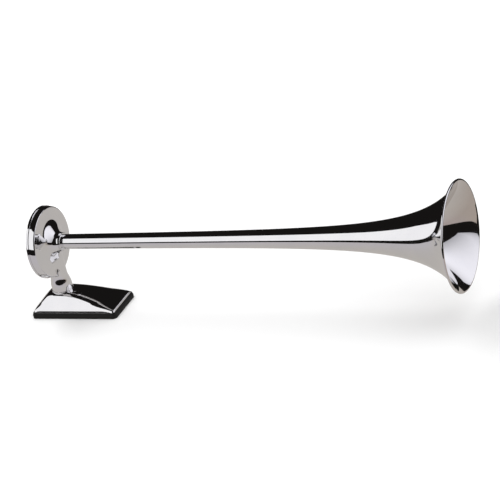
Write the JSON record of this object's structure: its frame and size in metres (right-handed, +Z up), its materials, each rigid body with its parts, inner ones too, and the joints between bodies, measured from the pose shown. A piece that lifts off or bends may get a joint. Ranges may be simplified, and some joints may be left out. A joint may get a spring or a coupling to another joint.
{
  "type": "boat horn",
  "caption": "Chrome single-trumpet marine air horn: a flared horn on a diaphragm drum, whose column swivels on a hipped deck base with a rubber gasket.",
  "frame": {"origin": "centre of the gasket's underside, where the base meets the deck", "axes": "+X along the trumpet toward the bell, +Z up from the deck, +Y to the left seen from behind the drum"},
  "size_m": [0.5594, 0.127, 0.1551],
  "materials": {
    "chrome_plate": "mirror polished",
    "black_rubber": "moulded matt",
    "brass": "turned",
    "stainless_steel": "machined"
  },
  "bodies": {
    "base": {"base_gasket": "black_rubber", "base_casting": "chrome_plate", "foot_seal": "black_rubber"},
    "horn": {"front_housing": "chrome_plate", "hollow_bolt": "stainless_steel", "bolt_washer": "stainless_steel", "lock_washer": "stainless_steel", "ferrule": "chrome_plate", "ferrule_seal": "black_rubber", "trumpet": "chrome_plate", "rim_wire": "stainless_steel", "nozzle": "brass", "front_gasket": "black_rubber", "rear_gasket": "black_rubber", "back_cover": "chrome_plate", "cover_washers": "stainless_steel", "cover_screws": "stainless_steel"},
    "diaphragm": {"diaphragm": "stainless_steel"}
  },
  "joints": [
    {"name": "horn_swivel", "type": "hinge", "parent": "base", "child": "horn", "pos_m": [-0.0216, 0, 0.028], "axis": [0, 0, 1], "range_deg": [-180, 180]},
    {"name": "diaphragm_lift", "type": "slide", "parent": "horn", "child": "diaphragm", "axis": [-1, 0, 0], "range_m": [0, 0.0004], "stiffness_N_per_m": 1000, "springref_m": -0.0005}
  ]
}
